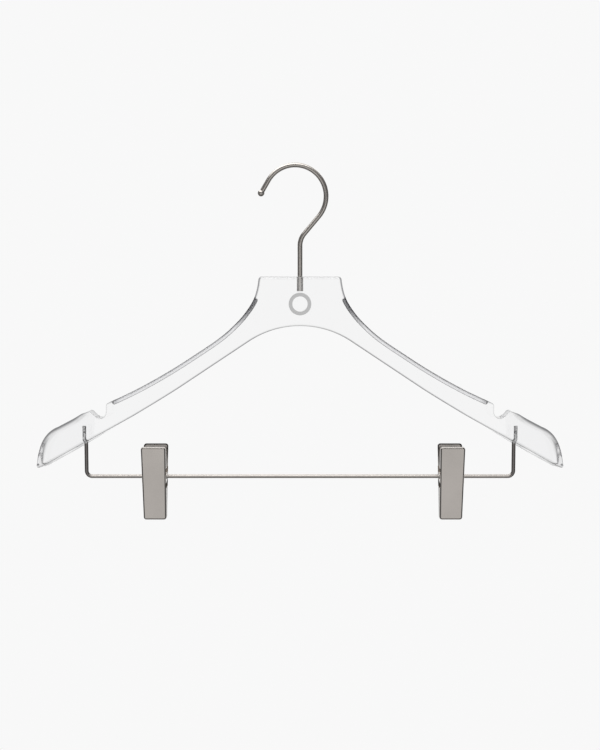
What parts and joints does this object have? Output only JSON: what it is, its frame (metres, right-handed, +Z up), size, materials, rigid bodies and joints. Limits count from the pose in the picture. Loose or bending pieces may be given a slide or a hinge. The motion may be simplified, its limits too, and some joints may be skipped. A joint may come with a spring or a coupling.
{
  "type": "clothes hanger",
  "caption": "Clear acrylic clothes hanger with bowed-back shoulders, strap notches, grip strips, a swivel wire hook and a drop bar with sliding spring clips.",
  "frame": {"origin": "on the hook's swivel axis, at the height of the underside of the hook's crown, where a rail bears", "axes": "X across the shoulders, with the hook's open side towards -X; -Y is the front; +Z is up along the swivel axis"},
  "size_m": [0.4452, 0.0425, 0.2947],
  "materials": {
    "acrylic": "clear cast acrylic with polished edges",
    "silicone": "clear satin silicone",
    "nickel": "satin nickel plate on steel wire",
    "clip_nickel": "satin nickel plate on pressed steel",
    "sleeve": "turned, bright nickel",
    "spring_steel": "drawn spring wire",
    "pad": "matte ribbed rubber"
  },
  "bodies": {
    "hook": {"hook": "nickel"},
    "hanger": {"hook_sleeve": "sleeve", "hanger_body": "acrylic", "left_grip_strip": "silicone", "right_grip_strip": "silicone", "drop_bar": "nickel"},
    "left_clip_slider": {"left_clip_bush": "sleeve"},
    "left_clip_core": {"left_clip_spring": "spring_steel"},
    "left_clip_front_jaw": {"left_clip_front_plate": "clip_nickel", "left_clip_front_pad": "pad"},
    "left_clip_back_jaw": {"left_clip_back_plate": "clip_nickel", "left_clip_back_pad": "pad"},
    "right_clip_slider": {"right_clip_bush": "sleeve"},
    "right_clip_core": {"right_clip_spring": "spring_steel"},
    "right_clip_front_jaw": {"right_clip_front_plate": "clip_nickel", "right_clip_front_pad": "pad"},
    "right_clip_back_jaw": {"right_clip_back_plate": "clip_nickel", "right_clip_back_pad": "pad"}
  },
  "joints": [
    {"name": "hook_swivel", "type": "hinge", "parent": "hook", "child": "hanger", "pos_m": [0, 0, -0.0882], "axis": [0, 0, 1], "continuous": true},
    {"name": "left_clip_slide", "type": "slide", "parent": "hanger", "child": "left_clip_slider", "axis": [1, 0, 0], "range_m": [-0.041, 0.11]},
    {"name": "left_clip_swing", "type": "hinge", "parent": "left_clip_slider", "child": "left_clip_core", "pos_m": [-0.121, 0.00796, -0.2545], "axis": [1, 0, 0], "range_deg": [-120, 120]},
    {"name": "left_clip_front_jaw_hinge", "type": "hinge", "parent": "left_clip_core", "child": "left_clip_front_jaw", "pos_m": [-0.121, 0.00796, -0.2545], "axis": [-1, 0, 0], "range_deg": [0, 18], "stiffness_Nm_per_rad": 0.1, "springref_deg": -45.84},
    {"name": "left_clip_back_jaw_hinge", "type": "hinge", "parent": "left_clip_core", "child": "left_clip_back_jaw", "pos_m": [-0.121, 0.00796, -0.2545], "axis": [-1, 0, 0], "range_deg": [-18, 0]},
    {"name": "right_clip_slide", "type": "slide", "parent": "hanger", "child": "right_clip_slider", "axis": [1, 0, 0], "range_m": [-0.115, 0.036]},
    {"name": "right_clip_swing", "type": "hinge", "parent": "right_clip_slider", "child": "right_clip_core", "pos_m": [0.126, 0.00796, -0.2545], "axis": [1, 0, 0], "range_deg": [-120, 120]},
    {"name": "right_clip_front_jaw_hinge", "type": "hinge", "parent": "right_clip_core", "child": "right_clip_front_jaw", "pos_m": [0.126, 0.00796, -0.2545], "axis": [-1, 0, 0], "range_deg": [0, 18], "stiffness_Nm_per_rad": 0.1, "springref_deg": -45.84},
    {"name": "right_clip_back_jaw_hinge", "type": "hinge", "parent": "right_clip_core", "child": "right_clip_back_jaw", "pos_m": [0.126, 0.00796, -0.2545], "axis": [-1, 0, 0], "range_deg": [-18, 0]}
  ],
  "couplings": [
    {"joint": "left_clip_back_jaw_hinge", "follows": "left_clip_front_jaw_hinge", "ratio": -1},
    {"joint": "right_clip_back_jaw_hinge", "follows": "right_clip_front_jaw_hinge", "ratio": -1}
  ]
}
